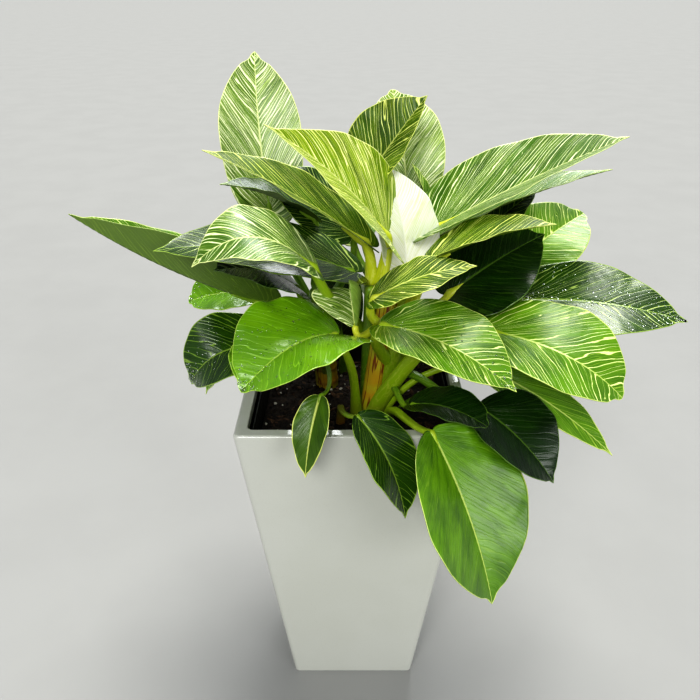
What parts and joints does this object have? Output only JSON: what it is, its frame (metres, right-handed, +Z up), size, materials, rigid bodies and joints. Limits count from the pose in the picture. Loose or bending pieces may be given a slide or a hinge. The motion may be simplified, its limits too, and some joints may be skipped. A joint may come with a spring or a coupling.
{
  "type": "potted variegated houseplant",
  "caption": "Philodendron with arching, cream pin-striped heart-shaped leaves on three short stems, in soil in a tall tapered square gloss planter with an inner liner.",
  "frame": {"origin": "centre of the planter's flat base", "axes": "+Z up, -Y towards the side the picture was taken from, +X to that viewer's right"},
  "size_m": [0.5184, 0.4374, 0.6053],
  "materials": {
    "planter": "white, high gloss",
    "liner": "black, matte",
    "soil": "dark potting mix with bark and perlite",
    "stem": "yellow-green with red-brown sheath edges",
    "leaf_green": "glossy green with fine cream stripes",
    "leaf_dark": "glossy dark green with pale stripes",
    "leaf_lime": "young lime leaf with cream stripes",
    "leaf_cream": "new cream leaf, soft sheen"
  },
  "bodies": {
    "root": {"leaf_back_centre": "leaf_green", "leaf_back_left": "leaf_dark", "leaf_back_low": "leaf_green", "leaf_back_right": "leaf_green", "leaf_back_side": "leaf_dark", "leaf_centre_cream": "leaf_lime", "leaf_centre_lime": "leaf_lime", "leaf_curled": "leaf_cream", "leaf_front_left": "leaf_green", "leaf_front_right": "leaf_green", "leaf_hang_big": "leaf_green", "leaf_hang_mid": "leaf_dark", "leaf_hang_small": "leaf_dark", "leaf_inner": "leaf_dark", "leaf_left_arching": "leaf_green", "leaf_left_far": "leaf_green", "leaf_left_low": "leaf_dark", "leaf_left_low_small": "leaf_green", "leaf_left_plain": "leaf_dark", "leaf_left_second": "leaf_green", "leaf_left_shade": "leaf_dark", "leaf_left_silver": "leaf_dark", "leaf_left_small": "leaf_green", "leaf_left_upper": "leaf_green", "leaf_left_wet": "leaf_green", "leaf_right_back": "leaf_green", "leaf_right_dark": "leaf_dark", "leaf_right_edge": "leaf_green", "leaf_right_far": "leaf_dark", "leaf_right_hang_dark": "leaf_dark", "leaf_right_hang_far": "leaf_green", "leaf_right_lime": "leaf_lime", "leaf_right_low": "leaf_dark", "leaf_right_silver": "leaf_dark", "leaf_right_striped": "leaf_green", "leaf_right_upper": "leaf_green", "leaf_tall_left": "leaf_green", "leaf_top_lime": "leaf_lime", "leaf_top_pale": "leaf_green", "leaf_top_small": "leaf_green", "leaf_white_new": "leaf_cream", "liner": "liner", "planter": "planter", "soil": "soil", "stem_back": "stem", "stem_left": "stem", "stem_main": "stem"}
  },
  "joints": []
}
